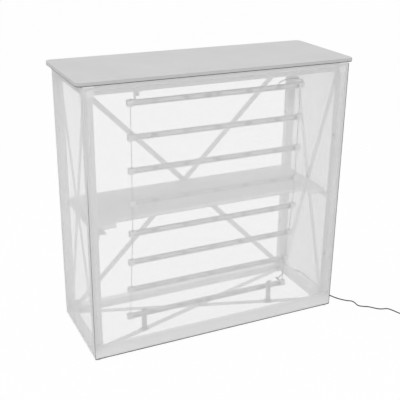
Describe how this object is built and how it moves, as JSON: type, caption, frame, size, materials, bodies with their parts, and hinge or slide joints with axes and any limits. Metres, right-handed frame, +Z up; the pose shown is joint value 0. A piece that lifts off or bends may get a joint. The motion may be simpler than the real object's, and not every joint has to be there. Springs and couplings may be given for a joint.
{
  "type": "exhibition counter",
  "caption": "Knock-down exhibition counter: braced aluminium frame with sheer fabric on three sides, a hanging light curtain, a shelf and a loose countertop.",
  "frame": {"origin": "on the floor, at the middle of the counter's footprint", "axes": "+X along the width to the right as seen from the front, +Y from the fabric front to the open back, +Z up"},
  "size_m": [1.342, 0.6318, 1.025],
  "materials": {
    "frame_profile": "satin anodised",
    "hub_plastic": "moulded grey",
    "brace_bar": "satin anodised",
    "fastener_steel": "zinc plated",
    "foot_plastic": "moulded grey",
    "countertop_laminate": "grey laminate on board",
    "peg_plastic": "moulded grey",
    "shelf_laminate": "pale grey laminate on board",
    "bearer_metal": "pale grey powder coat",
    "sheer_fabric": "sheer white knitted polyester",
    "silicone_edge": "translucent white silicone",
    "light_channel": "satin anodised",
    "light_lens": "clear moulded",
    "light_cap": "moulded grey",
    "string": "dark grey braided cord with crimped beads",
    "strap_metal": "grey powder coat",
    "lead_sheath": "soft vinyl sheath",
    "lead_rubber": "moulded rubber",
    "adapter_plastic": "moulded black",
    "adapter_pin": "nickel plated"
  },
  "bodies": {
    "frame": {"adapter_pins": "adapter_pin", "back_brace_falling": "brace_bar", "back_brace_rising": "brace_bar", "bearer_screws_and_nuts": "fastener_steel", "bottom_brace_from_back_left": "brace_bar", "bottom_brace_from_front_left": "brace_bar", "bottom_rail_back": "frame_profile", "bottom_rail_front": "frame_profile", "bottom_rail_left": "frame_profile", "bottom_rail_right": "frame_profile", "brace_end_pins": "fastener_steel", "brace_pivots": "fastener_steel", "coil_tie": "lead_rubber", "corner_hubs_bottom": "hub_plastic", "corner_hubs_top": "hub_plastic", "curtain_foot_clips": "strap_metal", "curtain_hangers": "strap_metal", "edge_strip_front": "silicone_edge", "edge_strip_left": "silicone_edge", "edge_strip_right": "silicone_edge", "fabric_front": "sheer_fabric", "fabric_left": "sheer_fabric", "fabric_right": "sheer_fabric", "glide_feet": "foot_plastic", "jumper_grommets": "lead_rubber", "jumper_lead": "lead_sheath", "lead_strain_relief": "lead_rubber", "left_brace_falling": "brace_bar", "left_brace_rising": "brace_bar", "light_bar_1": "light_channel", "light_bar_2": "light_channel", "light_bar_3": "light_channel", "light_bar_4": "light_channel", "light_bar_5": "light_channel", "light_bar_6": "light_channel", "light_bar_7": "light_channel", "light_bar_8": "light_channel", "light_end_caps": "light_cap", "light_lenses": "light_lens", "post_back_left": "frame_profile", "post_back_right": "frame_profile", "post_front_left": "frame_profile", "post_front_right": "frame_profile", "power_adapter": "adapter_plastic", "power_lead": "lead_sheath", "power_lead_coil": "lead_sheath", "right_brace_falling": "brace_bar", "right_brace_rising": "brace_bar", "shelf_bearer_left": "bearer_metal", "shelf_bearer_right": "bearer_metal", "suspension_strings": "string", "top_brace_from_back_left": "brace_bar", "top_brace_from_front_left": "brace_bar", "top_rail_back": "frame_profile", "top_rail_front": "frame_profile", "top_rail_left": "frame_profile", "top_rail_right": "frame_profile"},
    "countertop": {"countertop": "countertop_laminate", "countertop_pegs": "peg_plastic"},
    "shelf": {"shelf": "shelf_laminate"}
  },
  "joints": [
    {"name": "countertop_lift", "type": "slide", "parent": "frame", "child": "countertop", "axis": [0, 0, 1], "range_m": [0, 0.12]},
    {"name": "shelf_lift", "type": "slide", "parent": "frame", "child": "shelf", "axis": [0, 0, 1], "range_m": [0, 0.1]}
  ]
}
